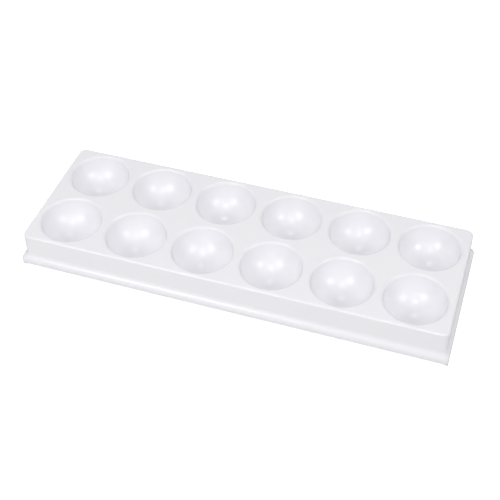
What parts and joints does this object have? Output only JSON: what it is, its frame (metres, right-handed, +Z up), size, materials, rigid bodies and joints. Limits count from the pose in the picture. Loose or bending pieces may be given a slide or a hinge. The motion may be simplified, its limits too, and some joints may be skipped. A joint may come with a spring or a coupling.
{
  "type": "egg tray",
  "caption": "Moulded tray with two rows of round egg cups, a sloping riser, a flange with a turned-down lip, and corner feet.",
  "frame": {"origin": "on the surface the feet stand on, below the middle of the tray", "axes": "+X along the tray's length, +Y across it towards the rear row of cups, +Z up, out of the cups"},
  "size_m": [0.3098, 0.1076, 0.0279],
  "materials": {
    "tray_plastic": "smooth gloss white",
    "foot_rubber": "matt light grey"
  },
  "bodies": {
    "root": {"tray": "tray_plastic", "front_left_foot": "foot_rubber", "front_right_foot": "foot_rubber", "rear_left_foot": "foot_rubber", "rear_right_foot": "foot_rubber"}
  },
  "joints": []
}
